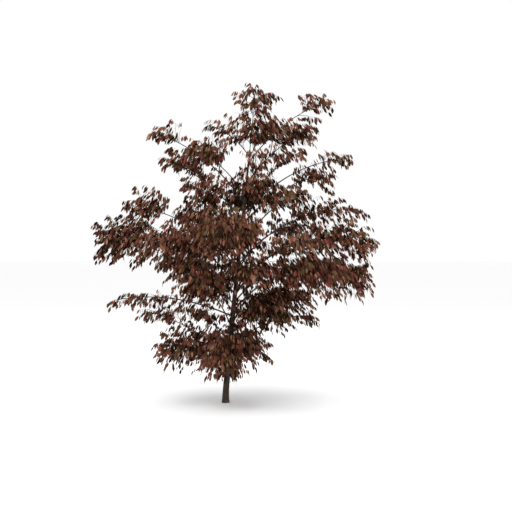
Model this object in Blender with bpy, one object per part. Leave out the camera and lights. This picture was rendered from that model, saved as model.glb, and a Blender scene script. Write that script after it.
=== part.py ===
# A burning bush grown as a small single-stemmed tree: a leaning trunk, boughs that arch out of it
# and masses of drooping leaves. Metres, +Z up. The origin is the middle of the flat cut under the
# trunk, -Y is the side that the photograph shows, and bearings turn from +X towards +Y.

import math
import random

import bmesh
import bpy
import numpy as np
from mathutils import Matrix, Vector
from mathutils.bvhtree import BVHTree

UP = Vector((0, 0, 1))
NO_MASS = -1

# Trunk
TRUNK_TOP = 2.38
PLANT_TOP = 3.05
TRUNK_RADIUS = 0.030
TRUNK_TAPER = 0.92
FLARE = 0.006
FLARE_HEIGHT = 0.05
LEAN, LEAN_START = 0.105, 0.22
SWAY = 0.012
FIRST_RING, SECOND_RING = 0.03, 0.08
TRUNK_RINGS = 14
TRUNK_SIDES = 12

# Limbs: a bough is the bare share of a limb, and the rest is the stem of its mass
LIMB_BASE_RADIUS, RADIUS_BY_REACH = 0.0025, 0.0040
LIMB_TIP_RADIUS = 0.0022
SHARE_OF_TRUNK = 0.8
LIMB_TAPER = 0.7
KNEE = 0.56
BOUGH_BEND = 0.92
SHORTEST_BOUGH = 0.39
UPRIGHT = 75
STUB = 0.02
GAP = 0.0003
BOUGH_SIDES, STEM_SIDES, LIMB_POINTS = 6, 4, 5
SHARP = math.radians(65)
STEEP = 0.9

# Spaces of the masses
ROUNDNESS = 2.5
SAG = 0.35
END_ROOM = 0.05
SPACE_MARGIN = 0.02
SAG_END = 1.2
LIMB_MARGIN = 0.003
GROUND_MARGIN = 0.06
TOUCH_RANGE = 0.45
LIMB_SAMPLES, TRUNK_SAMPLES = 70, 180

# Twigs
GOLDEN_ANGLE = 137.508
TWIGS, TWIGS_BY_VOLUME = 12, 850
TWIGS_FROM, TWIGS_ALONG = -0.8, 1.7
TWIG_OUT = (0.5, 0.98)
ROOT_BEHIND, FIRST_ROOT, LAST_ROOT = 0.75, 0.02, 0.97
TWIG_BASE, TWIG_TIP = 0.0060, 0.0042
TWIG_CUTS = (1, 0.8, 0.6)
SHORTEST_TWIG, STRAIGHT_TWIG = 0.05, 0.22
TWIG_KNEE = 0.52
TWIG_ALONG_LIMB, TWIG_ALONG_CHORD, TWIG_RISE = 0.55, 0.6, 0.42
TWIG_TOUCH_FROM = 0.3

# Leaves: each stands for a small spray, so they are fewer and larger than real ones
LEAF_LENGTH, LEAF_WIDTH, LEAF_THICKNESS = 0.24, 0.15, 0.015
LEAF_SIZES = (0.9, 1.15)
LEAF_REACH, LEAF_SIDE_ROOM = 0.06, 0.33
HANG_AHEAD, HANG_ASIDE, HANG_OUTWARD, HANG_SHAKE = 0.45, 0.5, 0.3, 0.16
HANG_DOWN = (-0.1, 1.1)
FACE_AHEAD, FACE_UP, FACE_OUTWARD, FACING_SHAKE = 0.5, 0.5, 0.4, 0.9
UPRIGHT_TWIG = 0.2
STEM_LEAVES = ((0.86, 1), (0.7, -1), (0.55, 1))
TWIG_LEAVES = ((0.75, 1), (0.6, -1), (0.45, 1), (0.3, -1))
STEM_TIP, LEAF_AT_TWIG_TIP = 0.98, 0.95
MOST_LEAVES, LEAVES_BY_VOLUME, TWIG_SHARE = 13, 240, 0.31
LEAF_TRIES, TIP_TRIES = 20, 30
LEAF_ROOT, LEAF_TIP = Vector((0, -0.5, -0.5)), Vector((0, 0.5, -0.5))

# Name, height at which the limb leaves the trunk, bearing, reach, height of the mass's middle,
# rise at the trunk, bare share, half width and half depth of the mass
LIMBS = [
    ("leader", 2.38, 20, 0.06, 2.97, 84, 0.06, 0.17, 0.19),
    ("top_right", 2.25, 4, 0.74, 2.84, 56, 0.72, 0.14, 0.10),
    ("crown_right", 2.06, 348, 0.62, 2.57, 54, 0.38, 0.25, 0.11),
    ("crown_left", 2.32, 192, 0.37, 2.60, 56, 0.14, 0.13, 0.10),
    ("crown_back", 2.30, 50, 0.28, 2.65, 54, 0.20, 0.22, 0.14),
    ("crown_front", 1.92, 305, 0.34, 2.31, 54, 0.30, 0.12, 0.11),
    ("upper_left", 1.88, 180, 0.87, 2.55, 56, 0.73, 0.15, 0.10),
    ("inner_left", 1.95, 206, 0.54, 2.38, 54, 0.48, 0.26, 0.14),
    ("back_left", 1.72, 160, 0.82, 2.33, 50, 0.48, 0.20, 0.12),
    ("front_upper_left", 1.53, 218, 0.58, 2.03, 50, 0.40, 0.22, 0.17),
    ("upper_right", 1.75, 357, 1.00, 2.30, 52, 0.78, 0.17, 0.09),
    ("shoulder_right", 1.85, 330, 0.60, 2.33, 52, 0.50, 0.20, 0.08),
    ("inner_right", 1.67, 16, 0.88, 2.17, 50, 0.66, 0.20, 0.13),
    ("front_upper_right", 1.46, 318, 0.76, 1.95, 49, 0.42, 0.20, 0.13),
    ("front_upper", 1.56, 296, 0.56, 2.08, 50, 0.28, 0.17, 0.14),
    ("back_upper", 1.60, 86, 0.70, 2.00, 50, 0.28, 0.24, 0.14),
    ("high_left", 1.26, 180, 1.03, 1.86, 52, 0.70, 0.17, 0.19),
    ("far_left", 1.02, 183, 1.24, 1.565, 52, 0.70, 0.26, 0.29),
    ("front_left", 1.10, 224, 1.05, 1.52, 50, 0.30, 0.30, 0.23),
    ("front_mid", 1.19, 264, 1.02, 1.60, 50, 0.28, 0.38, 0.26),
    ("back_mid_left", 1.35, 132, 0.88, 1.81, 50, 0.34, 0.26, 0.17),
    ("back_mid", 1.15, 96, 1.12, 1.62, 50, 0.32, 0.32, 0.22),
    ("back_mid_right", 1.23, 52, 1.10, 1.64, 50, 0.62, 0.28, 0.17),
    ("high_right", 1.29, 6, 1.10, 1.83, 52, 0.50, 0.22, 0.13),
    ("mid_right", 1.07, 354, 1.26, 1.54, 52, 0.60, 0.22, 0.26),
    ("front_mid_right", 1.00, 312, 1.14, 1.50, 50, 0.44, 0.26, 0.11),
    ("mid_left", 0.81, 176, 1.14, 0.955, 24, 0.40, 0.15, 0.09),
    ("lower_left", 0.92, 148, 0.82, 1.32, 48, 0.34, 0.28, 0.14),
    ("front_low_left", 0.84, 240, 0.80, 1.21, 46, 0.30, 0.28, 0.16),
    ("front_low", 0.92, 284, 0.92, 1.27, 46, 0.30, 0.28, 0.19),
    ("low_left", 0.42, 191, 0.78, 0.87, 44, 0.50, 0.18, 0.09),
    ("low_mid", 0.58, 222, 0.52, 0.88, 46, 0.34, 0.18, 0.12),
    ("lower_right", 0.85, 330, 1.14, 1.23, 50, 0.42, 0.34, 0.21),
    ("far_right", 0.94, 352, 1.24, 1.20, 52, 0.56, 0.28, 0.25),
    ("back_low_right", 0.64, 46, 1.02, 0.97, 46, 0.30, 0.30, 0.18),
    ("low_right", 0.50, 352, 0.80, 0.82, 46, 0.52, 0.18, 0.09),
    ("front_low_right", 0.62, 302, 0.80, 0.88, 46, 0.26, 0.26, 0.19),
    ("back_low", 0.70, 116, 0.98, 1.03, 46, 0.36, 0.28, 0.18),
    ("skirt_left", 0.30, 197, 0.63, 0.56, 44, 0.12, 0.28, 0.23),
    ("skirt_front", 0.28, 266, 0.56, 0.50, 44, 0.12, 0.24, 0.24),
    ("skirt_right", 0.33, 336, 0.36, 0.57, 48, 0.10, 0.22, 0.22),
    ("skirt_back", 0.30, 80, 0.58, 0.53, 44, 0.12, 0.28, 0.20),
]


def heading(bearing, rise=0.0):
    turn, lift = math.radians(bearing), math.radians(rise)
    return Vector((math.cos(turn) * math.cos(lift), math.sin(turn) * math.cos(lift), math.sin(lift)))


def trunk_axis(z):
    lean = LEAN * z * z / (z + LEAN_START)
    sway = SWAY * (1 - math.cos(2 * z))
    return Vector((lean, sway, z))


def trunk_radius(z):
    return TRUNK_RADIUS * (1 - z / PLANT_TOP) ** TRUNK_TAPER + FLARE * math.exp(-z / FLARE_HEIGHT)


def arc(first, middle, last, share):
    rest = 1 - share
    return first * rest * rest + middle * (2 * rest * share) + last * share * share


def arc_direction(first, middle, last, share):
    return ((middle - first) * (1 - share) + (last - middle) * share).normalized()


class Limb:
    # A limb is one curve from the trunk's axis to its furthest tip. Its mass is a rounded space
    # that is full along the limb's outer part and sags a little towards the tip.
    def __init__(self, name, height, bearing, reach, middle, rise, bare, spread, depth):
        self.name = name
        self.bare = bare
        self.foot = trunk_axis(height)
        self.tip = self.foot + heading(bearing) * reach
        self.tip.z = middle
        chord = (self.tip - self.foot).length
        self.knee = self.foot + heading(bearing, rise) * chord * KNEE
        most = trunk_radius(height) * SHARE_OF_TRUNK - LIMB_TIP_RADIUS
        self.base_radius = min(most, LIMB_BASE_RADIUS + RADIUS_BY_REACH * reach)
        start = self.at(bare)
        upright = rise > UPRIGHT
        line = self.tip - start
        if not upright:
            line.z = 0
        self.along = line.normalized()
        self.across = (UP.cross(self.along) if not upright else heading(bearing + 90)).normalized()
        self.over = self.along.cross(self.across)
        self.middle = (start + self.tip) / 2
        if not upright:
            self.middle.z = middle
        self.half = (line.length / 2 + END_ROOM, spread, depth)
        self.on_trunk_top = upright
        self.has_bough = not upright and bare * chord > SHORTEST_BOUGH

    def at(self, share):
        return arc(self.foot, self.knee, self.tip, share)

    def direction(self, share):
        return arc_direction(self.foot, self.knee, self.tip, share)

    def radius(self, share):
        return self.base_radius * (1 - share) ** LIMB_TAPER + LIMB_TIP_RADIUS

    def place(self, along, across, over):
        return (self.middle + self.along * (along * self.half[0]) + self.across * (across * self.half[1])
                + self.over * (over * self.half[2]))

    def volume(self):
        return self.half[0] * self.half[1] * self.half[2]

    def stem_start(self):
        return self.bare if self.has_bough else 0

    def bough_shares(self):
        return np.linspace(0, self.bare * BOUGH_BEND, LIMB_POINTS - 2)

    def stem_shares(self):
        return np.linspace(self.stem_start(), 1, LIMB_POINTS)


def fullness(along):
    return max(0.0, 1 - abs(along) ** ROUNDNESS) ** (1 / ROUNDNESS)


def sag(along):
    return SAG * along * abs(along)


class Twig:
    # A twig leaves the stem behind the place that it grows to, and arches up on its way there.
    def __init__(self, limb, number, count, start_angle):
        self.draw = random.Random(f"{limb.name} {number}")
        along = TWIGS_FROM + TWIGS_ALONG * (number + 0.5) / count
        turn = math.radians(start_angle + number * GOLDEN_ANGLE)
        out = self.draw.uniform(*TWIG_OUT) * fullness(along)
        across, over = out * math.cos(turn), out * math.sin(turn) - sag(along)
        self.tip = limb.place(along, across, over)
        sideways = math.hypot(across * limb.half[1], over * limb.half[2])
        behind = along - ROOT_BEHIND * sideways / limb.half[0]
        along_stem = min(LAST_ROOT, max(FIRST_ROOT, (behind + 1) / 2))
        share = limb.bare + (1 - limb.bare) * along_stem
        self.root = limb.at(share)
        self.chord = self.tip - self.root
        length = self.chord.length
        ahead = limb.direction(share) * TWIG_ALONG_LIMB + self.chord.normalized() * TWIG_ALONG_CHORD
        ahead = (ahead + UP * TWIG_RISE).normalized()
        self.knee = self.root + ahead * length * TWIG_KNEE
        self.grown = 1

    def at(self, share):
        return arc(self.root, self.knee, self.tip, share * self.grown)

    def direction(self, share):
        return arc_direction(self.root, self.knee, self.tip, share * self.grown)


def twigs_of(limb):
    count = round(TWIGS + TWIGS_BY_VOLUME * limb.volume())
    draw = random.Random(limb.name)
    start_angle = draw.uniform(0, 360)
    return [Twig(limb, number, count, start_angle) for number in draw.sample(range(count), count)]


def leaf_matrix(point, direction, side, draw, size):
    # Leaves hang, and lean outwards from the trunk and along their twig.
    ahead = Vector((direction.x, direction.y, 0))
    sideways = ahead.cross(UP).normalized() if ahead.length > UPRIGHT_TWIG else heading(draw.uniform(0, 360))
    outward = point - trunk_axis(point.z)
    outward.z = 0
    outward.normalize()
    shake = Vector([draw.gauss(0, HANG_SHAKE) for _ in range(3)])
    hang = ahead * HANG_AHEAD + sideways * (HANG_ASIDE * side) + outward * HANG_OUTWARD
    hang = (hang - UP * draw.uniform(*HANG_DOWN) + shake).normalized()
    facing = ahead * FACE_AHEAD + UP * FACE_UP + outward * FACE_OUTWARD
    facing += Vector([draw.gauss(0, FACING_SHAKE) for _ in range(3)])
    width = hang.cross(facing).normalized()
    normal = width.cross(hang)
    length = LEAF_LENGTH * size
    turn = Matrix((width, hang, normal)).transposed()
    middle = hang * (length / 2) + normal * (LEAF_THICKNESS / 2)
    scale = Matrix.Diagonal((LEAF_WIDTH * size / math.cos(math.pi / 6), length, LEAF_THICKNESS))
    return Matrix.Translation(point + middle) @ (turn @ scale).to_4x4()


class Spaces:
    # A place belongs to the mass in whose rounded space it lies deepest, so that two masses never
    # meet, and everything in a mass stays clear of the other limbs.
    def __init__(self, limbs):
        self.middles = np.array([limb.middle for limb in limbs])
        self.axes = np.array([(limb.along, limb.across, limb.over) for limb in limbs])
        self.halves = np.array([limb.half for limb in limbs])
        rows = []
        for number, limb in enumerate(limbs):
            for share in np.linspace(0, 1, LIMB_SAMPLES):
                owner = number if share > limb.stem_start() or not limb.has_bough else NO_MASS
                rows.append((*limb.at(share), limb.radius(share), owner))
        for z in np.linspace(0, TRUNK_TOP, TRUNK_SAMPLES):
            rows.append((*trunk_axis(z), trunk_radius(z), NO_MASS))
        self.limb_points = np.array(rows)
        self.grown = []
        for limb in limbs:
            self.keep_line(limb.at, limb.radius, limb.stem_shares(), limb)
            if limb.has_bough:
                self.keep_line(limb.at, limb.radius, [*limb.bough_shares(), limb.bare], None)
        self.keep_line(trunk_axis, trunk_radius, np.linspace(0, TRUNK_TOP, TRUNK_RINGS), None)

    def depths(self, points, extra=0):
        # How far out each point lies in each space: 0 in its middle and 1 at its surface.
        away = np.array(points)[:, None, :] - self.middles
        shares = np.einsum("pnk,nak->pna", away, self.axes) / (self.halves + extra)
        along, across, over = np.moveaxis(shares, 2, 0)
        aside = np.hypot(across, over + sag(np.clip(along, -SAG_END, SAG_END)))
        return (np.abs(along) ** ROUNDNESS + aside ** ROUNDNESS) ** (1 / ROUNDNESS)

    def own(self, number, points):
        depths = self.depths(points)
        others = np.delete(depths, number, axis=1).min(axis=1)
        return bool((depths[:, number] < others * (1 - SPACE_MARGIN)).all())

    def holds(self, number, point):
        return self.depths([point], LEAF_REACH)[0, number] < 1

    def clear_of_limbs(self, number, start, end, half_width):
        others = self.limb_points[self.limb_points[:, 4] != number]
        start, line = np.array(start), np.array(end - start)
        share = np.clip((others[:, :3] - start) @ line / (line @ line), 0, 1)
        nearest = start + share[:, None] * line
        distance = np.linalg.norm(others[:, :3] - nearest, axis=1)
        return bool((distance > others[:, 3] + half_width + LIMB_MARGIN).all())

    def keep_line(self, at, radius, shares, owner):
        for share, after in zip(shares, shares[1:]):
            start, end = at(share), at(after)
            self.keep(line_tree((start, end), radius(share)), (start + end) / 2, owner)

    def keep(self, tree, middle, owner):
        self.grown.append((tree, middle, owner))

    def meets(self, tree, middle, host):
        for other, place, owner in self.grown:
            if owner is not host and (middle - place).length < TOUCH_RANGE and tree.overlap(other):
                return True
        return False


def material(name, colour, roughness):
    made = bpy.data.materials.new(name)
    made.use_nodes = True
    shader = made.node_tree.nodes["Principled BSDF"]
    shader.inputs["Base Color"].default_value = (*colour, 1)
    shader.inputs["Roughness"].default_value = roughness
    shader.inputs["Metallic"].default_value = 0
    return made


def tube(name, points, radii, sides, collection):
    # A tapering tube through the points, as a closed mesh object.
    data = bpy.data.curves.new(name, "CURVE")
    data.dimensions = "3D"
    data.use_fill_caps = True
    profile = None
    if sides == 3:
        profile = ring(sides)
        data.bevel_mode = "OBJECT"
        data.bevel_object = profile
    else:
        data.bevel_depth = 1
        data.bevel_resolution = (sides - 4) // 2
    spline = data.splines.new("POLY")
    spline.points.add(len(points) - 1)
    for knot, point, radius in zip(spline.points, points, radii):
        knot.co = (*point, 1)
        knot.radius = radius
    curve = bpy.data.objects.new(name + "_line", data)
    bpy.context.scene.collection.objects.link(curve)
    made = as_mesh(curve, name, collection)
    weld_caps(made.data)
    for helper in (curve, profile):
        if helper:
            line = helper.data
            bpy.data.objects.remove(helper)
            bpy.data.curves.remove(line)
    return made


def ring(sides):
    data = bpy.data.curves.new("profile", "CURVE")
    data.dimensions = "2D"
    spline = data.splines.new("POLY")
    spline.points.add(sides - 1)
    for number, knot in enumerate(spline.points):
        turn = math.tau * number / sides
        knot.co = (math.cos(turn), math.sin(turn), 0, 1)
    spline.use_cyclic_u = True
    made = bpy.data.objects.new("profile", data)
    bpy.context.scene.collection.objects.link(made)
    return made


def as_mesh(source, name, collection):
    graph = bpy.context.evaluated_depsgraph_get()
    mesh = bpy.data.meshes.new_from_object(source.evaluated_get(graph))
    mesh.name = name
    made = bpy.data.objects.new(name, mesh)
    made.matrix_world = source.matrix_world
    collection.objects.link(made)
    return made


def weld_caps(mesh):
    caps = bmesh.new()
    caps.from_mesh(mesh)
    bmesh.ops.remove_doubles(caps, verts=caps.verts, dist=0.00001)
    bmesh.ops.recalc_face_normals(caps, faces=caps.faces)
    caps.to_mesh(mesh)
    caps.free()


def leaf_mesh():
    # A blade with a six-sided outline, a flat underside and a ridge that peaks at its middle.
    blade = bmesh.new()
    bmesh.ops.create_cone(blade, cap_ends=True, segments=6, radius1=0.5, radius2=0, depth=1)
    mesh = bpy.data.meshes.new("leaf")
    blade.to_mesh(mesh)
    blade.free()
    return mesh


def leaf(matrix, collection):
    made = bpy.data.objects.new("leaf", leaf_shape.copy())
    made.data.transform(matrix)
    collection.objects.link(made)


def leaf_corners(matrix):
    return [matrix @ vert.co for vert in leaf_shape.vertices]


def leaf_tree(corners):
    return BVHTree.FromPolygons(corners, [face.vertices[:] for face in leaf_shape.polygons])


def line_tree(points, radius):
    # Two crossed ribbons along a line stand for its tube.
    corners, faces = [], []
    for start, end in zip(points, points[1:]):
        ahead = (end - start).normalized()
        side = ahead.cross(UP if abs(ahead.z) < STEEP else heading(0)).normalized() * radius
        for out in (side, ahead.cross(side)):
            first = len(corners)
            corners += [start - out, start + out, end + out, end - out]
            faces.append((first, first + 1, first + 2, first + 3))
    return BVHTree.FromPolygons(corners, faces)


def smooth(made):
    made.data.shade_smooth()
    made.data.set_sharp_from_angle(angle=SHARP)
    return made


def cut(target, cutter):
    step = target.modifiers.new("trunk_clearance", "BOOLEAN")
    step.operation = "DIFFERENCE"
    step.object = cutter


def joined(stem, pieces, name, collection, solver):
    step = stem.modifiers.new("join", "BOOLEAN")
    step.operation = "UNION"
    step.operand_type = "COLLECTION"
    step.collection = pieces
    step.solver = solver
    made = as_mesh(stem, name, collection)
    stem.modifiers.remove(step)
    keep_largest(made.data)
    return made


def keep_largest(mesh):
    # Loose scraps and sealed hollows are separate shells, and only the outer one stays.
    shells = bmesh.new()
    shells.from_mesh(mesh)
    left, groups = set(shells.verts), []
    while left:
        group, edge = set(), [left.pop()]
        while edge:
            vert = edge.pop()
            group.add(vert)
            near = {link.other_vert(vert) for link in vert.link_edges} & left
            left -= near
            edge.extend(near)
        groups.append(group)
    groups.sort(key=len)
    for group in groups[:-1]:
        bmesh.ops.delete(shells, geom=list(group), context="VERTS")
    shells.to_mesh(mesh)
    shells.free()


def is_closed(mesh):
    edges = bmesh.new()
    edges.from_mesh(mesh)
    closed = all(edge.is_manifold for edge in edges.edges)
    edges.free()
    return closed


def remove(made):
    mesh = made.data
    bpy.data.objects.remove(made)
    bpy.data.meshes.remove(mesh)


def make_trunk(collection, name, extra):
    heights = [0, FIRST_RING]
    heights += list(np.linspace(SECOND_RING, TRUNK_TOP - STUB, TRUNK_RINGS - 3))
    points = [Vector((0, 0, z)) if z <= FIRST_RING else trunk_axis(z) for z in heights]
    leader = next(limb for limb in limbs if limb.on_trunk_top)
    points[-1] = leader.foot - leader.direction(0) * STUB
    points.append(leader.foot)
    heights.append(TRUNK_TOP)
    radii = [trunk_radius(z) + extra for z in heights]
    return smooth(tube(name, points, radii, TRUNK_SIDES, collection))


def make_bough(limb, collection):
    end, ahead = limb.at(limb.bare), limb.direction(limb.bare)
    shares = limb.bough_shares()
    points = [limb.at(share) for share in shares] + [end - ahead * STUB, end]
    radii = [limb.radius(share) for share in shares] + [limb.radius(limb.bare)] * 2
    return smooth(tube("bough_" + limb.name, points, radii, BOUGH_SIDES, collection))


def make_stem(limb, collection):
    start = limb.stem_start()
    shares = limb.stem_shares()[1:]
    points = [limb.at(share) for share in shares]
    radii = [limb.radius(share) for share in shares]
    if limb.has_bough or limb.on_trunk_top:
        ahead = limb.direction(start)
        points = [limb.at(start) + ahead * GAP, limb.at(start) + ahead * STUB] + points
        wide = limb.radius(start) if limb.has_bough else trunk_radius(TRUNK_TOP)
        radii = [wide, wide] + radii
    else:
        points.insert(0, limb.foot)
        radii.insert(0, limb.radius(0))
    return tube("stem", points, radii, STEM_SIDES, collection)


def grow(number, limb, spaces, pieces):
    # Twigs and leaves of one mass. Each that would leave its space or touch a limb, a leaf or
    # another twig is skipped, and so is a twig with no leaf at its tip.
    def try_leaf(host, place, side, draw, tries=LEAF_TRIES):
        return any(add_leaf(host, place, side, draw) for _ in range(tries))

    def add_leaf(host, place, side, draw):
        size = draw.uniform(*LEAF_SIZES)
        matrix = leaf_matrix(host.at(place), host.direction(place), side, draw, size)
        corners = leaf_corners(matrix)
        root, end = matrix @ LEAF_ROOT, matrix @ LEAF_TIP
        if min(corner.z for corner in corners) < GROUND_MARGIN:
            return False
        if not spaces.holds(number, end) or not spaces.own(number, corners[1:]):
            return False
        if not spaces.clear_of_limbs(number, root, end, LEAF_WIDTH * LEAF_SIDE_ROOM):
            return False
        tree, middle = leaf_tree(corners), (root + end) / 2
        if spaces.meets(tree, middle, host):
            return False
        spaces.keep(tree, middle, None)
        leaf(matrix, pieces)
        return True

    def try_twig(twig):
        points = root, knee, tip = [twig.at(share) for share in (0, 0.5, 1)]
        if (tip - root).length < SHORTEST_TWIG or not spaces.own(number, (knee, tip)):
            return False
        if not all(spaces.clear_of_limbs(number, a, b, TWIG_BASE) for a, b in ((root, knee), (knee, tip))):
            return False
        tree = line_tree((twig.at(TWIG_TOUCH_FROM), knee, tip), TWIG_BASE)
        if spaces.meets(tree, knee, limb) or not try_leaf(twig, LEAF_AT_TWIG_TIP, 0, twig.draw):
            return False
        if twig.chord.length * twig.grown < STRAIGHT_TWIG:
            points = root, tip
        tube("twig", points, np.linspace(TWIG_BASE, TWIG_TIP, len(points)), 3, pieces)
        spaces.keep(tree, knee, twig)
        return True

    twigs = []
    most = round(MOST_LEAVES + LEAVES_BY_VOLUME * limb.volume())
    draw = random.Random(limb.name + " end")
    leaves = try_leaf(limb, STEM_TIP, 0, draw, TIP_TRIES)
    for twig in twigs_of(limb):
        for twig.grown in TWIG_CUTS:
            if leaves < most * TWIG_SHARE and try_twig(twig):
                leaves += 1
                twigs.append(twig)
                break
    for place, side in STEM_LEAVES:
        leaves += try_leaf(limb, place, side, draw)
    for place, side in TWIG_LEAVES:
        for twig in twigs:
            if leaves < most:
                leaves += try_leaf(twig, place, side, twig.draw)
    return leaves


def make_mass(number, limb, spaces, trunk_cutter, collection):
    pieces = bpy.data.collections.new("pieces_of_" + limb.name)
    bpy.context.scene.collection.children.link(pieces)
    stem = make_stem(limb, bpy.context.scene.collection)
    if not limb.has_bough and not limb.on_trunk_top:
        cut(stem, trunk_cutter)
    leaves = grow(number, limb, spaces, pieces)
    name = "foliage_" + limb.name
    made = joined(stem, pieces, name, collection, "EXACT")
    if not is_closed(made.data):
        remove(made)
        made = joined(stem, pieces, name, collection, "MANIFOLD")
    remove(stem)
    for piece in list(pieces.objects):
        remove(piece)
    bpy.data.collections.remove(pieces)
    made.name = name
    return made, leaves


for old in list(bpy.data.objects):
    bpy.data.objects.remove(old)

plant = bpy.data.collections.new("burning_bush")
cutters = bpy.data.collections.new("cutters")
for group in (plant, cutters):
    bpy.context.scene.collection.children.link(group)

limbs = [Limb(*row) for row in LIMBS]
spaces = Spaces(limbs)
bark = material("bark", (0.060, 0.048, 0.040), 0.85)
foliage = material("foliage", (0.085, 0.028, 0.018), 0.6)

leaf_shape = leaf_mesh()
trunk = make_trunk(plant, "trunk", 0)
trunk.data.materials.append(bark)
trunk_cutter = make_trunk(cutters, "trunk_clearance", GAP)
trunk_cutter.hide_render = True
trunk_cutter.display_type = "WIRE"

for limb in limbs:
    if limb.has_bough:
        bough = make_bough(limb, plant)
        cut(bough, trunk_cutter)
        bough.data.materials.append(bark)

for number, limb in enumerate(limbs):
    mass, leaves = make_mass(number, limb, spaces, trunk_cutter, plant)
    mass.data.materials.append(foliage)
    print(mass.name, leaves, "leaves")
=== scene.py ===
import math
import random

import bpy
import numpy as np
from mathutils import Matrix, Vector, noise


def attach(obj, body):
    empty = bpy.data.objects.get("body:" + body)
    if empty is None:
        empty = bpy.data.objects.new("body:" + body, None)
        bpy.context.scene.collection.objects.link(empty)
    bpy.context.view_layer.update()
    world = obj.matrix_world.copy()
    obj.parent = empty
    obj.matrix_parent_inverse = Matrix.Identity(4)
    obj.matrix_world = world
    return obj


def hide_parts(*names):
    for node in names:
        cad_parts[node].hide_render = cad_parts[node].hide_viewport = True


# A burning bush in autumn leaf. The limbs, stems and twigs repeat the solids' rule, and go on
# from there to twiglets that carry leaves of real size.

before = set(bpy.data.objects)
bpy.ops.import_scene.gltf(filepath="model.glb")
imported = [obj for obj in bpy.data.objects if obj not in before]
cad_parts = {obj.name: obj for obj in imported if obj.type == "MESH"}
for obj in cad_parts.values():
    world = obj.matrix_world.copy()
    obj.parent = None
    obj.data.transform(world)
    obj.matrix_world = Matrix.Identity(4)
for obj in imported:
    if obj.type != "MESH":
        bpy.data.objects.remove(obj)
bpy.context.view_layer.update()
up = Vector((0, 0, 1))
goldenAngle = 137.508

trunkShape = {
    "top": 2.38,
    "plantTop": 3.05,
    "radius": 0.030,
    "taper": 0.92,
    "flare": 0.006,
    "flareHeight": 0.05,
    "firstRing": 0.03,
}

# name, height at the trunk, bearing, reach, height of the mass's middle, rise, bare share,
# half width and half depth of the mass
limbRows = [
    ("leader", 2.38, 20, 0.06, 2.97, 84, 0.06, 0.17, 0.19),
    ("top_right", 2.25, 4, 0.74, 2.84, 56, 0.72, 0.14, 0.10),
    ("crown_right", 2.06, 348, 0.62, 2.57, 54, 0.38, 0.25, 0.11),
    ("crown_left", 2.32, 192, 0.37, 2.60, 56, 0.14, 0.13, 0.10),
    ("crown_back", 2.30, 50, 0.28, 2.65, 54, 0.20, 0.22, 0.14),
    ("crown_front", 1.92, 305, 0.34, 2.31, 54, 0.30, 0.12, 0.11),
    ("upper_left", 1.88, 180, 0.87, 2.55, 56, 0.73, 0.15, 0.10),
    ("inner_left", 1.95, 206, 0.54, 2.38, 54, 0.48, 0.26, 0.14),
    ("back_left", 1.72, 160, 0.82, 2.33, 50, 0.48, 0.20, 0.12),
    ("front_upper_left", 1.53, 218, 0.58, 2.03, 50, 0.40, 0.22, 0.17),
    ("upper_right", 1.75, 357, 1.00, 2.30, 52, 0.78, 0.17, 0.09),
    ("shoulder_right", 1.85, 330, 0.60, 2.33, 52, 0.50, 0.20, 0.08),
    ("inner_right", 1.67, 16, 0.88, 2.17, 50, 0.66, 0.20, 0.13),
    ("front_upper_right", 1.46, 318, 0.76, 1.95, 49, 0.42, 0.20, 0.13),
    ("front_upper", 1.56, 296, 0.56, 2.08, 50, 0.28, 0.17, 0.14),
    ("back_upper", 1.60, 86, 0.70, 2.00, 50, 0.28, 0.24, 0.14),
    ("high_left", 1.26, 180, 1.03, 1.86, 52, 0.70, 0.17, 0.19),
    ("far_left", 1.02, 183, 1.24, 1.565, 52, 0.70, 0.26, 0.29),
    ("front_left", 1.10, 224, 1.05, 1.52, 50, 0.30, 0.30, 0.23),
    ("front_mid", 1.19, 264, 1.02, 1.60, 50, 0.28, 0.38, 0.26),
    ("back_mid_left", 1.35, 132, 0.88, 1.81, 50, 0.34, 0.26, 0.17),
    ("back_mid", 1.15, 96, 1.12, 1.62, 50, 0.32, 0.32, 0.22),
    ("back_mid_right", 1.23, 52, 1.10, 1.64, 50, 0.62, 0.28, 0.17),
    ("high_right", 1.29, 6, 1.10, 1.83, 52, 0.50, 0.22, 0.13),
    ("mid_right", 1.07, 354, 1.26, 1.54, 52, 0.60, 0.22, 0.26),
    ("front_mid_right", 1.00, 312, 1.14, 1.50, 50, 0.44, 0.26, 0.11),
    ("mid_left", 0.81, 176, 1.14, 0.955, 24, 0.40, 0.15, 0.09),
    ("lower_left", 0.92, 148, 0.82, 1.32, 48, 0.34, 0.28, 0.14),
    ("front_low_left", 0.84, 240, 0.80, 1.21, 46, 0.30, 0.28, 0.16),
    ("front_low", 0.92, 284, 0.92, 1.27, 46, 0.30, 0.28, 0.19),
    ("low_left", 0.42, 191, 0.78, 0.87, 44, 0.50, 0.18, 0.09),
    ("low_mid", 0.58, 222, 0.52, 0.88, 46, 0.34, 0.18, 0.12),
    ("lower_right", 0.85, 330, 1.14, 1.23, 50, 0.42, 0.34, 0.21),
    ("far_right", 0.94, 352, 1.24, 1.20, 52, 0.56, 0.28, 0.25),
    ("back_low_right", 0.64, 46, 1.02, 0.97, 46, 0.30, 0.30, 0.18),
    ("low_right", 0.50, 352, 0.80, 0.82, 46, 0.52, 0.18, 0.09),
    ("front_low_right", 0.62, 302, 0.80, 0.88, 46, 0.26, 0.26, 0.19),
    ("back_low", 0.70, 116, 0.98, 1.03, 46, 0.36, 0.28, 0.18),
    ("skirt_left", 0.30, 197, 0.63, 0.56, 44, 0.12, 0.28, 0.23),
    ("skirt_front", 0.28, 266, 0.56, 0.50, 44, 0.12, 0.24, 0.24),
    ("skirt_right", 0.33, 336, 0.36, 0.57, 48, 0.10, 0.22, 0.22),
    ("skirt_back", 0.30, 80, 0.58, 0.53, 44, 0.12, 0.28, 0.20),
]


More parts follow.
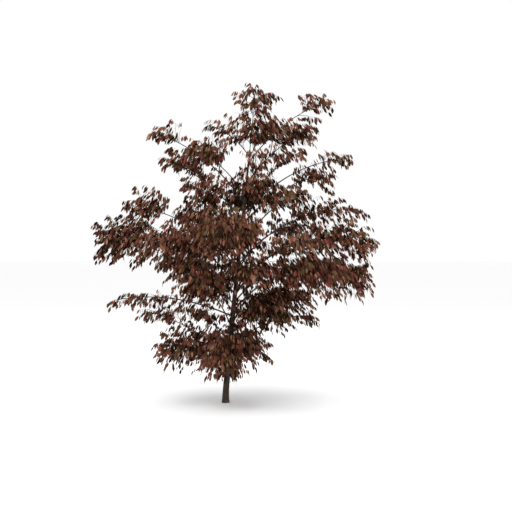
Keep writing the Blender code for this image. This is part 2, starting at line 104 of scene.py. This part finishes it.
def heading(bearing, rise=0.0):
    turn, lift = math.radians(bearing), math.radians(rise)
    return Vector((math.cos(turn) * math.cos(lift), math.sin(turn) * math.cos(lift), math.sin(lift)))


def trunkAxis(z):
    return Vector((0.105 * z * z / (z + 0.22), 0.012 * (1 - math.cos(2 * z)), z))


def trunkRadius(z):
    t = trunkShape
    return t["radius"] * (1 - z / t["plantTop"]) ** t["taper"] + t["flare"] * math.exp(-z / t["flareHeight"])


def arc(first, middle, last, share):
    rest = 1 - share
    return first * rest * rest + middle * (2 * rest * share) + last * share * share


def arcDirection(first, middle, last, share):
    return ((middle - first) * (1 - share) + (last - middle) * share).normalized()


def fullness(along):
    return max(0.0, 1 - abs(along) ** roundness) ** (1 / roundness)


def sag(along):
    return 0.35 * along * abs(along)


roundness = 2.5
limbShape = {"knee": 0.56, "boughFrom": 0.39, "thin": 0.0025, "thick": 0.0040, "tip": 0.0022,
             "ofTrunk": 0.8}


class Limb:
    def __init__(self, name, height, bearing, reach, middle, rise, bare, spread, depth):
        self.name = name
        self.bare = bare
        self.foot = trunkAxis(height)
        self.tip = self.foot + heading(bearing) * reach
        self.tip.z = middle
        chord = (self.tip - self.foot).length
        self.knee = self.foot + heading(bearing, rise) * chord * limbShape["knee"]
        most = trunkRadius(height) * limbShape["ofTrunk"] - limbShape["tip"]
        self.baseRadius = min(most, limbShape["thin"] + limbShape["thick"] * reach)
        start = self.at(bare)
        self.upright = rise > 75
        line = self.tip - start
        if not self.upright:
            line.z = 0
        self.along = line.normalized()
        self.across = (heading(bearing + 90) if self.upright else up.cross(self.along)).normalized()
        self.over = self.along.cross(self.across)
        self.middle = (start + self.tip) / 2
        if not self.upright:
            self.middle.z = middle
        self.half = (line.length / 2 + 0.05, spread, depth)
        self.hasBough = not self.upright and bare * chord > limbShape["boughFrom"]

    def at(self, share):
        return arc(self.foot, self.knee, self.tip, share)

    def direction(self, share):
        return arcDirection(self.foot, self.knee, self.tip, share)

    def radius(self, share):
        return self.baseRadius * (1 - share) ** 0.7 + limbShape["tip"]

    def place(self, along, across, over):
        return (self.middle + self.along * (along * self.half[0]) + self.across * (across * self.half[1])
                + self.over * (over * self.half[2]))

    def volume(self):
        return self.half[0] * self.half[1] * self.half[2]


class Twig:
    # a twig leaves the stem behind the place that it grows to, and arches up on its way there
    def __init__(self, limb, number, count, startAngle):
        self.draw = random.Random(f"{limb.name} {number}")
        along = -0.8 + 1.7 * (number + 0.5) / count
        turn = math.radians(startAngle + number * goldenAngle)
        out = self.draw.uniform(0.5, 0.98) * fullness(along)
        across, over = out * math.cos(turn), out * math.sin(turn) - sag(along)
        self.tip = limb.place(along, across, over)
        sideways = math.hypot(across * limb.half[1], over * limb.half[2])
        behind = along - 0.75 * sideways / limb.half[0]
        share = limb.bare + (1 - limb.bare) * min(0.97, max(0.02, (behind + 1) / 2))
        self.root = limb.at(share)
        chord = self.tip - self.root
        self.length = chord.length
        ahead = (limb.direction(share) * 0.55 + chord.normalized() * 0.6 + up * 0.42).normalized()
        self.knee = self.root + ahead * self.length * 0.52

    def at(self, share):
        return arc(self.root, self.knee, self.tip, share)

    def direction(self, share):
        return arcDirection(self.root, self.knee, self.tip, share)


class Sprig(Twig):
    # one more twig where a few leaves stand out of a mass
    def __init__(self, limb, share, bearing, rise, length):
        self.draw = random.Random(f"{limb.name} sprig {bearing} {rise}")
        self.root = limb.at(share)
        self.length = length
        self.tip = self.root + heading(bearing, rise) * length
        self.knee = (self.root + self.tip) / 2 + up * (length * 0.15)


def twigsOf(limb):
    count = round(12 + 850 * limb.volume())
    startAngle = random.Random(limb.name).uniform(0, 360)
    return [Twig(limb, number, count, startAngle) for number in range(count)]


class Spaces:
    # a place belongs to the mass in whose rounded space it lies deepest
    def __init__(self, limbs):
        self.limbs = limbs
        self.middles = np.array([limb.middle for limb in limbs])
        self.axes = np.array([(limb.along, limb.across, limb.over) for limb in limbs])
        self.halves = np.array([limb.half for limb in limbs])

    def holds(self, limb, point):
        extra = foliageShape["reach"]
        away = np.array(point) - self.middles
        along, across, over = (np.einsum("nk,nak->na", away, self.axes) / (self.halves + extra)).T
        near = np.clip(along, -1.2, 1.2)
        aside = np.hypot(across, over + sag(near))
        depths = (np.abs(along) ** roundness + aside ** roundness) ** (1 / roundness)
        number = self.limbs.index(limb)
        own = depths[number]
        # painted shade: leaves low in the mass and deep inside it get more of the near-black tint
        self.shade = 0.3 - 0.3 * over[number] + 0.5 * max(0, 0.6 - own)
        return own < 1 and own < depths.min() * foliageShape["mingle"]


# Meshes from arrays

def tubeMesh(points, radii, sides):
    # rings of equal sides round a line
    points = np.array([tuple(point) for point in points])
    ahead = np.gradient(points, axis=0)
    ahead /= np.linalg.norm(ahead, axis=1)[:, None]
    side = np.cross(ahead[0], (0.3, 0.9, 0.1))
    corners = []
    turns = np.linspace(0, math.tau, sides, endpoint=False)
    for point, line, radius in zip(points, ahead, radii):
        side = side - line * side.dot(line)
        side /= np.linalg.norm(side)
        other = np.cross(line, side)
        ring = np.outer(np.cos(turns), side) + np.outer(np.sin(turns), other)
        corners.append(point + ring * radius)
    corners = np.concatenate(corners)
    first = np.arange(sides)
    after = (first + 1) % sides
    faces = []
    for ring in range(len(points) - 1):
        low, high = ring * sides, (ring + 1) * sides
        faces.append(np.stack((low + first, low + after, high + after, high + first), axis=1))
    return corners, np.concatenate(faces)


def meshObject(name, corners, faces, materials, choice=None):
    # faces is a list of index arrays, each of one kind: triangles or quads
    mesh = bpy.data.meshes.new(name)
    loops = np.concatenate([part.reshape(-1) for part in faces])
    sizes = np.concatenate([np.full(len(part), part.shape[1]) for part in faces])
    mesh.vertices.add(len(corners))
    mesh.vertices.foreach_set("co", np.asarray(corners, dtype=np.float32).reshape(-1))
    mesh.loops.add(len(loops))
    mesh.loops.foreach_set("vertex_index", loops.astype(np.int32))
    mesh.polygons.add(len(sizes))
    starts = np.concatenate(([0], np.cumsum(sizes)[:-1]))
    mesh.polygons.foreach_set("loop_start", starts.astype(np.int32))
    for material in materials:
        mesh.materials.append(material)
    if choice is not None:
        mesh.polygons.foreach_set("material_index", choice.astype(np.int32))
    mesh.polygons.foreach_set("use_smooth", np.ones(len(sizes), dtype=bool))
    mesh.update(calc_edges=True)
    mesh.validate()
    piece = bpy.data.objects.new(name, mesh)
    bpy.context.scene.collection.objects.link(piece)
    return piece


# Materials

def linear(red, green, blue):
    def one(value):
        value /= 255
        return value / 12.92 if value <= 0.04045 else ((value + 0.055) / 1.055) ** 2.4
    return (one(red), one(green), one(blue), 1)


class Value:
    # a socket that adds, multiplies and so on like a number
    def __init__(self, shader, socket):
        self.shader, self.socket = shader, socket

    def maths(self, operation, *values):
        return self.shader.node("ShaderNodeMath", {"operation": operation}, dict(enumerate(values)))

    def __add__(self, other):
        return self.maths("ADD", self, other)

    def __mul__(self, other):
        return self.maths("MULTIPLY", self, other)

    def __sub__(self, other):
        return self.maths("SUBTRACT", self, other)

    def __rsub__(self, other):
        return self.maths("SUBTRACT", other, self)

    def __pow__(self, other):
        return self.maths("POWER", self, other)

    __radd__, __rmul__ = __add__, __mul__

    def clamped(self):
        return self.shader.node("ShaderNodeClamp", {}, {0: self})


class Shader:
    def __init__(self, name, roughness):
        self.material = bpy.data.materials.new(name)
        self.material.use_nodes = True
        self.tree = self.material.node_tree
        self.surface = self.tree.nodes["Principled BSDF"]
        self.surface.inputs["Roughness"].default_value = roughness

    def node(self, kind, settings, values, output=0):
        made = self.tree.nodes.new(kind)
        for key, value in settings.items():
            setattr(made, key, value)
        for key, value in values.items():
            if isinstance(value, Value):
                self.tree.links.new(value.socket, made.inputs[key])
            else:
                made.inputs[key].default_value = value
        return Value(self, made.outputs[output])

    def mix(self, share, first, second):
        return self.node("ShaderNodeMix", {"data_type": "RGBA"}, {0: share, 6: first, 7: second}, 2)

    def feed(self, socket, value):
        self.tree.links.new(value.socket, self.surface.inputs[socket])


barkLook = {
    "dark": linear(38, 31, 28),
    "middle": linear(72, 61, 54),
    "light": linear(106, 93, 84),
    "green": linear(64, 61, 49),
    "roughness": 0.9,
}


def barkMaterial():
    shader = Shader("bark", barkLook["roughness"])
    place = shader.node("ShaderNodeTexCoord", {}, {}, "Object")
    drawn = shader.node("ShaderNodeMapping", {}, {0: place, 3: (1, 1, 0.16)})
    fine = {0: drawn, "Scale": 150, "Detail": 6, "Roughness": 0.65}
    fissures = shader.node("ShaderNodeTexNoise", {}, fine)
    patches = shader.node("ShaderNodeTexNoise", {}, {0: place, "Scale": 9, "Detail": 4})
    ridges = (fissures - 0.36).maths("MULTIPLY", fissures - 0.36, 3.2).clamped()
    body = shader.mix(ridges, barkLook["dark"], barkLook["middle"])
    worn = ((patches - 0.48) * 3).clamped() * ridges
    body = shader.mix(worn, body, barkLook["light"])
    mossy = ((0.42 - patches) * 4).clamped() * 0.5
    body = shader.mix(mossy, body, barkLook["green"])
    shader.feed("Base Color", body)
    relief = {"Strength": 0.6, "Distance": 0.002, "Height": fissures}
    shader.feed("Normal", shader.node("ShaderNodeBump", {}, relief, "Normal"))
    return shader.material


def plainMaterial(name, colour, roughness, shine=0.5):
    shader = Shader(name, roughness)
    shader.surface.inputs["Base Color"].default_value = colour
    shader.surface.inputs["Specular IOR Level"].default_value = shine
    return shader.material


# Bark pieces: trunk and boughs with ridges that run along them

barkRelief = {
    "trunkSides": 44,
    "trunkRings": 260,
    "boughSides": 20,
    "boughRings": 90,
    "depth": 0.055,
    "grain": 16,
    "stretch": 0.12,
    "swell": 0.05,
    "trunkRidge": 0.05,
    "boughRidge": -0.18,
}


def withRelief(points, radii, sides, ridge, seed):
    # the tube, its skin pushed in along fissures and out at gentle swellings
    corners, faces = tubeMesh(points, radii, sides)
    points = np.array([tuple(point) for point in points])
    steps = np.concatenate(([0], np.cumsum(np.linalg.norm(np.diff(points, axis=0), axis=1))))
    r = barkRelief
    for ring, (point, radius, along) in enumerate(zip(points, radii, steps)):
        for side in range(sides):
            turn = math.tau * side / sides
            around = Vector((math.cos(turn), math.sin(turn), 0)) * (r["grain"] * radius * 6)
            around.z = along * r["grain"] * 9 * r["stretch"] + seed
            fissure = 1 - abs(noise.noise(around * 2.6)) * 2
            swelling = noise.noise(Vector((math.cos(turn), math.sin(turn), along * 6 + seed)))
            push = radius * (ridge + r["swell"] * swelling - r["depth"] * max(0, fissure - 0.45) * 1.8)
            number = ring * sides + side
            away = corners[number] - point
            corners[number] += away / np.linalg.norm(away) * push
    return corners, faces


def capped(corners, faces, sides):
    # a flat cap at each end
    rings = len(corners) // sides
    low, high = corners[:sides].mean(axis=0), corners[-sides:].mean(axis=0)
    count = len(corners)
    first = np.arange(sides)
    after = (first + 1) % sides
    last = (rings - 1) * sides
    caps = np.concatenate((np.stack((after, first, np.full(sides, count)), axis=1),
                           np.stack((last + first, last + after, np.full(sides, count + 1)), axis=1)))
    return np.concatenate((corners, [low, high])), [faces, caps]


def makeTrunk(bark):
    heights = np.concatenate(([0], np.linspace(0.004, trunkShape["top"], barkRelief["trunkRings"])))
    points = [Vector((0, 0, z)) if z <= trunkShape["firstRing"] else trunkAxis(z) for z in heights]
    radii = [trunkRadius(z) for z in heights]
    sides = barkRelief["trunkSides"]
    corners, faces = withRelief(points, radii, sides, barkRelief["trunkRidge"], 3.7)
    corners[:sides, 2] = 0
    corners[:, 2] = np.maximum(corners[:, 2], 0)
    corners, faces = capped(corners, faces, sides)
    piece = meshObject("bark_trunk", corners, faces, [bark])
    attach(piece, "root")
    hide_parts("trunk")


def makeBough(limb, bark):
    shares = np.linspace(0, limb.bare, barkRelief["boughRings"])
    points = [limb.at(share) for share in shares]
    radii = [limb.radius(share) for share in shares]
    sides = barkRelief["boughSides"]
    seed = sum(map(ord, limb.name)) * 0.37
    corners, faces = withRelief(points, radii, sides, barkRelief["boughRidge"], seed)
    corners, faces = capped(corners, faces, sides)
    piece = meshObject("bark_bough_" + limb.name, corners, faces, [bark])
    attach(piece, "root")
    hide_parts("bough_" + limb.name)


# Foliage: twiglets on each twig and stem, with leaves in pairs and one at each tip

foliageShape = {
    "twigBase": 0.0024,
    "twigTip": 0.0009,
    "twigletBase": 0.0009,
    "twigletTip": 0.0005,
    "twigletEvery": 0.0225,
    "twigletLength": 0.125,
    "stemTwigletEvery": 0.035,
    "stemTwigletLength": 0.13,
    "pairEvery": 0.031,
    "reach": 0.028,
    "mingle": 1.15,
    "open": 0.12,
    "leafLength": 0.0520,
    "leafWidth": 0.0205,
    "leafApart": 0.0165,
    "leafOutward": 0.4,
    "leafAhead": 0.25,
    "leafDown": 0.8,
    "leafDownMore": 0.6,
    "leafSideways": 0.22,
    "leafShake": 0.14,
    "clearOfGround": 0.25,
}

# the skirt's last twiglets hang close round the trunk, one after another along each stem
collar = {
    "from": 0.04,
    "apart": 0.024,
    "length": 0.115,
    "fall": 1.1,
    "clearOfGround": 0.18,
    "dim": 0.05,
    "twiglets": {"skirt_left": 9, "skirt_front": 11, "skirt_right": 10, "skirt_back": 8},
}

# mass, place along its limb, bearing, rise and length of each sprig that stands out
sprigs = [
    ("leader", 0.80, 180, 20, 0.16),
    ("leader", 0.80, 0, 16, 0.16),
    ("leader", 0.92, 180, 50, 0.07),
    ("top_right", 0.67, 350, -8, 0.15),
    ("top_right", 0.80, 100, 70, 0.14),
    ("far_left", 0.66, 200, -62, 0.22),
    ("far_left", 0.82, 195, -60, 0.22),
    ("far_left", 0.92, 175, -60, 0.20),
    ("far_left", 0.97, 180, 50, 0.12),
    ("front_upper", 0.70, 300, -45, 0.24),
    ("inner_right", 0.80, 330, -35, 0.20),
    ("crown_right", 0.86, 330, -62, 0.13),
    ("high_right", 0.95, 350, -10, 0.16),
]

# share of twiglets left out where the crown is open to the sky
lacy = {
    "leader": 0.05, "top_right": 0.52, "crown_right": 0.28, "crown_left": 0.45, "crown_back": 0.02,
    "crown_front": 0.58, "upper_left": 0.45, "inner_left": 0.22, "back_left": 0.28, "upper_right": 0.53,
    "shoulder_right": 0.62, "inner_right": 0.38, "front_upper_right": 0.18, "front_upper_left": 0.24,
    "back_upper": 0.05, "high_left": 0.05, "far_left": 0.05, "front_left": 0, "front_mid": 0,
    "back_mid_left": 0.2, "high_right": 0.35, "front_mid_right": 0.3, "back_mid_right": 0.45,
    "mid_left": 0.22, "lower_left": 0, "front_low": 0.05, "low_left": 0.42, "low_mid": 0.35,
    "lower_right": 0, "low_right": 0.5, "back_low_right": 0, "back_low": 0.35, "skirt_left": 0,
    "skirt_front": 0.05, "skirt_right": 0.2,
}

# share of dark leaves added where the tiers above shade a mass
dim = {
    "front_low_right": 0.7, "low_right": 0.7, "back_low_right": 0.7, "lower_right": -0.02, "front_low": 0.25,
    "back_low": 0.28, "front_upper": 0.45, "back_upper": 0.55, "front_mid": 0.18, "far_left": 0.2,
    "mid_right": 0.02, "lower_left": 0.12, "skirt_left": -0.25, "skirt_front": -0.3, "skirt_right": -0.3,
}

# smaller leaves on the masses that reach furthest forward
leafScale = {
    "front_mid": 0.88, "front_left": 0.9, "front_low": 0.9, "front_low_left": 0.92, "front_low_right": 0.92,
    "front_upper": 0.95, "front_upper_left": 0.95, "front_mid_right": 0.95, "lower_right": 0.95,
    "skirt_front": 0.92, "skirt_left": 0.95, "skirt_right": 0.95,
}

# one leaf: places along it, the half width there, and a keel that the two halves fold about
leafRows = ((0.12, 0.22), (0.36, 0.48), (0.64, 0.48), (0.88, 0.25))
leafFold = 0.22


def leafTemplate():
    corners = [(0, 0, 0), (0, 0, 1)]
    for along, half in leafRows:
        corners += [(-half, half * leafFold, along), (0, 0, along), (half, half * leafFold, along)]
    last = len(corners) - 3
    triangles = [(0, 3, 2), (0, 4, 3), (1, last, last + 1), (1, last + 1, last + 2)]
    quads = []
    for row in range(len(leafRows) - 1):
        low, high = 2 + 3 * row, 5 + 3 * row
        quads += [(low, low + 1, high + 1, high), (low + 1, low + 2, high + 2, high + 1)]
    return np.array(corners, dtype=float), np.array(triangles), np.array(quads)


# autumn tints with their weights; the near-black last tint is painted shade, not a leaf colour: it goes to
# leaves low in a mass, deep inside it or under the tiers above
tints = {
    "wine": (linear(101, 54, 43), 2.7),
    "rust": (linear(127, 81, 60), 2.5),
    "brown": (linear(94, 65, 45), 3.0),
    "clay": (linear(138, 101, 81), 1.6),
    "olive": (linear(88, 73, 46), 1.2),
    "plum": (linear(88, 55, 47), 2.2),
    "rose": (linear(124, 57, 54), 0.7),
    "dusk": (linear(33, 18, 5), 1.3),
}
paintedShadeTint = list(tints).index("dusk")


class Spray:
    # what grows on one mass: lines for the twig piece, and leaves with their tints
    def __init__(self, limb):
        self.limb = limb
        self.lines = []
        self.leaves = []
        self.taken = {}
        self.openness = lacy.get(limb.name, foliageShape["open"])
        self.dim = dim.get(limb.name, 0)
        self.scale = leafScale.get(limb.name, 1)
        self.tintDraw = random.Random(limb.name + " tints")
        self.lowest = foliageShape["clearOfGround"]
        self.free = False

    def twiglet(self, root, direction, side, length, draw, tint, fall=0):
        level = direction.cross(up)
        level = level.normalized() if level.length > 0.25 else heading(draw.uniform(0, 360))
        turn = math.radians(draw.uniform(35, 65)) * side
        direction = Vector((direction.x, direction.y, max(direction.z, -0.2))).normalized()
        ahead = direction * math.cos(turn) + level * math.sin(turn) + up * draw.uniform(-0.15, 0.5)
        ahead = ahead.normalized() * (length * draw.uniform(0.75, 1.2))
        droop = up * (ahead.length * (draw.uniform(0.15, 0.55) + fall))
        if not spaces.holds(self.limb, root + ahead - droop) and not self.free:
            return
        if draw.random() < self.openness:
            return
        if draw.random() < 0.5:
            tint = pickTint(draw)
        second, third = pickTint(draw), pickTint(self.tintDraw)
        # painted shade: the more shaded the place, the more leaves take the near-black tint
        dark = min(0.7, max(0.25, spaces.shade)) + self.dim
        if draw.random() < dark * 0.35:
            tint = paintedShadeTint
        if draw.random() < dark:
            second = paintedShadeTint
        line = [root + ahead * share - droop * share * share for share in (0, 0.5, 1)]
        self.lines.append((line, foliageShape["twigletBase"], foliageShape["twigletTip"], 3))
        pairs = max(2, round(ahead.length / foliageShape["pairEvery"]))
        for pair in range(pairs):
            share = 0.3 + 0.7 * (pair + 0.5) / pairs
            point = root + ahead * share - droop * share * share
            along = (ahead - droop * 2 * share).normalized()
            for leafSide in (-1, 1):
                if draw.random() < 0.9:
                    pick = draw.random()
                    own = second if pick < 0.36 else third if pick < 0.62 else tint
                    self.leaf(point, along, leafSide, draw, own)
        self.leaf(line[-1], (ahead - droop * 2).normalized(), 0, draw, tint)

    def leaf(self, point, direction, side, draw, tint):
        level = direction.cross(up)
        level = level.normalized() if level.length > 0.25 else heading(draw.uniform(0, 360))
        outward = point - trunkAxis(point.z)
        outward.z = 0
        outward.normalize()
        shake = Vector([draw.gauss(0, foliageShape["leafShake"]) for _ in range(3)])
        hang = direction * foliageShape["leafAhead"] + level * (foliageShape["leafSideways"] * side)
        leastDown = foliageShape["leafDown"]
        down = draw.uniform(leastDown, leastDown + foliageShape["leafDownMore"])
        hang += outward * foliageShape["leafOutward"] - up * down + shake
        hang.normalize()
        facing = Vector((direction.x, direction.y, 0)) * 0.3 + up * 0.3 + outward * 0.3
        facing += Vector([draw.gauss(0, 1.1) for _ in range(3)])
        width = hang.cross(facing).normalized()
        size = draw.uniform(0.8, 1.15) * self.scale
        curl = draw.uniform(-0.05, 0.22)
        if point.z - foliageShape["leafLength"] * size < self.lowest:
            return
        if self.crowded(point + hang * (foliageShape["leafLength"] * size / 2)):
            return
        self.leaves.append((*point, *hang, *width, size, curl, tint))

    def crowded(self, point):
        # leaves keep a distance from each other, so that each one shows
        apart = foliageShape["leafApart"] * self.scale
        cell = [math.floor(value / apart) for value in point]
        steps = (-1, 0, 1)
        near = [(cell[0] + a, cell[1] + b, cell[2] + c) for a in steps for b in steps for c in steps]
        if any((other - point).length < apart for key in near for other in self.taken.get(key, ())):
            return True
        self.taken.setdefault(tuple(cell), []).append(point)
        return False

    def twig(self, twig):
        tint = pickTint(twig.draw)
        shares = np.linspace(0, 1, 6)
        self.lines.append(([twig.at(share) for share in shares], foliageShape["twigBase"],
                           foliageShape["twigTip"], 4))
        count = max(2, round(twig.length / foliageShape["twigletEvery"]))
        for number in range(count):
            share = 0.12 + 0.88 * (number + 0.5) / count
            self.twiglet(twig.at(share), twig.direction(share), 1 if number % 2 else -1,
                         foliageShape["twigletLength"] * (1.15 - 0.4 * share), twig.draw, tint)
        self.twiglet(twig.at(0.98), twig.direction(1), 0, 0.09, twig.draw, tint)

    def stem(self):
        limb = self.limb
        draw = random.Random(limb.name + " stem")
        start = limb.bare if limb.hasBough else 0
        if limb.upright:
            start = 0
        shares = np.linspace(start, 1, 14)
        radii = [limb.radius(share) * (1 + barkRelief["boughRidge"]) for share in shares]
        self.lines.append(([limb.at(share) for share in shares], radii, None, 8))
        length = (limb.tip - limb.at(limb.bare)).length
        count = max(2, int(length * 0.8 / foliageShape["stemTwigletEvery"]))
        tint = pickTint(draw)
        for number in range(count):
            share = limb.bare + (1 - limb.bare) * (number + 0.6) / count
            self.twiglet(limb.at(share), limb.direction(share), 1 if number % 2 else -1,
                         foliageShape["stemTwigletLength"], draw, tint)
        for number in range(3):
            self.twiglet(limb.at(0.95 + 0.02 * number), limb.direction(1), number - 1, 0.1, draw, tint)

    def hangCollar(self):
        limb = self.limb
        draw = random.Random(limb.name + " collar")
        self.lowest = collar["clearOfGround"]
        self.dim = collar["dim"]
        for number in range(collar["twiglets"].get(limb.name, 0)):
            share = collar["from"] + collar["apart"] * number
            self.twiglet(limb.at(share), limb.direction(share), 1 if number % 2 else -1, collar["length"],
                         draw, pickTint(draw), collar["fall"])


def pickTint(draw):
    weights = [weight for _, weight in tints.values()]
    return draw.choices(range(len(weights)), weights)[0]


def leafPiece(spray, materials):
    template, triangles, quads = leafTemplate()
    rows = np.array(spray.leaves)
    root, hang, width = rows[:, 0:3], rows[:, 3:6], rows[:, 6:9]
    size, curl, tint = rows[:, 9], rows[:, 10], rows[:, 11].astype(int)
    normal = np.cross(width, hang)
    long, wide = foliageShape["leafLength"] * size, foliageShape["leafWidth"] * size
    x = template[:, 0][None] * wide[:, None]
    y = template[:, 1][None] * wide[:, None] - (curl * long)[:, None] * template[:, 2][None] ** 2
    z = template[:, 2][None] * long[:, None]
    corners = (root[:, None] + x[..., None] * width[:, None] + y[..., None] * normal[:, None]
               + z[..., None] * hang[:, None])
    count = len(rows)
    shift = (np.arange(count) * len(template))[:, None, None]
    faces = [(triangles[None] + shift).reshape(-1, 3), (quads[None] + shift).reshape(-1, 4)]
    choice = np.concatenate((np.repeat(tint, len(triangles)), np.repeat(tint, len(quads))))
    name = "leaves_" + spray.limb.name
    return meshObject(name, corners.reshape(-1, 3), faces, materials, choice)


def twigPiece(spray, material):
    corners, faces, count = [], [], 0
    for points, base, tip, sides in spray.lines:
        radii = base if tip is None else np.linspace(base, tip, len(points))
        newCorners, newFaces = tubeMesh(points, radii, sides)
        corners.append(newCorners)
        faces.append(newFaces + count)
        count += len(newCorners)
    return meshObject("twigs_" + spray.limb.name, np.concatenate(corners), faces, [material])


def makeMass(limb, leafMaterials, twigMaterial):
    spray = Spray(limb)
    spray.stem()
    for twig in twigsOf(limb):
        spray.twig(twig)
    spray.free = True
    for name, *place in sprigs:
        if name == limb.name:
            spray.twig(Sprig(limb, *place))
    spray.hangCollar()
    pieces = ((leafPiece(spray, leafMaterials), "foliage"), (twigPiece(spray, twigMaterial), "bark"))
    for piece, slot in pieces:
        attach(piece, "root")
        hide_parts("foliage_" + limb.name)
    return len(spray.leaves)


# Stage, light and camera

stageLook = {
    "floorSize": 400,
    "floorColour": (0.97, 0.97, 0.97, 1),
    "skyColour": (1, 1, 1, 1),
    "skyStrength": 1.0,
    "keyPower": 260,
    "keySize": 5,
}
cameraLook = {"place": (0.287, -8.0, 1.38), "lens": 59.7}


def makeStage():
    half = stageLook["floorSize"] / 2
    corners = np.array([(-half, -half, 0), (half, -half, 0), (half, half, 0), (-half, half, 0)])
    material = plainMaterial("floor", stageLook["floorColour"], 0.95)
    floor = meshObject("floor", corners, [np.array([(0, 1, 2, 3)])], [material])
    bpy.context.scene.view_settings.view_transform = "Standard"
    world = bpy.data.worlds.new("pale sky")
    bpy.context.scene.world = world
    world.use_nodes = True
    sky = world.node_tree.nodes["Background"]
    sky.inputs["Color"].default_value = stageLook["skyColour"]
    sky.inputs["Strength"].default_value = stageLook["skyStrength"]
    for name, place, power in (("key light", (-2.5, -4.0, 6.5), 1.0), ("top light", (1.5, 1.0, 7.0), 0.6)):
        light = bpy.data.lights.new(name, "AREA")
        light.energy = stageLook["keyPower"] * power
        light.size = stageLook["keySize"]
        lamp = bpy.data.objects.new(name, light)
        lamp.location = place
        lamp.rotation_euler = (Vector((0.2, 0, 1.4)) - Vector(place)).to_track_quat("-Z", "Y").to_euler()
        bpy.context.scene.collection.objects.link(lamp)


def makeCamera():
    data = bpy.data.cameras.new("camera")
    data.lens = cameraLook["lens"]
    camera = bpy.data.objects.new("camera", data)
    camera.location = cameraLook["place"]
    camera.rotation_euler = (math.pi / 2, 0, 0)
    bpy.context.scene.collection.objects.link(camera)
    bpy.context.scene.camera = camera


limbs = [Limb(*row) for row in limbRows]
spaces = Spaces(limbs)
bark = barkMaterial()
twigBark = plainMaterial("twig bark", linear(58, 43, 34), 0.9, 0.05)
leafMaterials = [plainMaterial("leaf " + name, colour, 0.6, 0.05) for name, (colour, _) in tints.items()]

makeTrunk(bark)
for limb in limbs:
    if limb.hasBough:
        makeBough(limb, bark)
print("bark done")

leafCount = sum(makeMass(limb, leafMaterials, twigBark) for limb in limbs)
print("foliage done,", leafCount, "leaves")

makeStage()
makeCamera()
print("stage done")
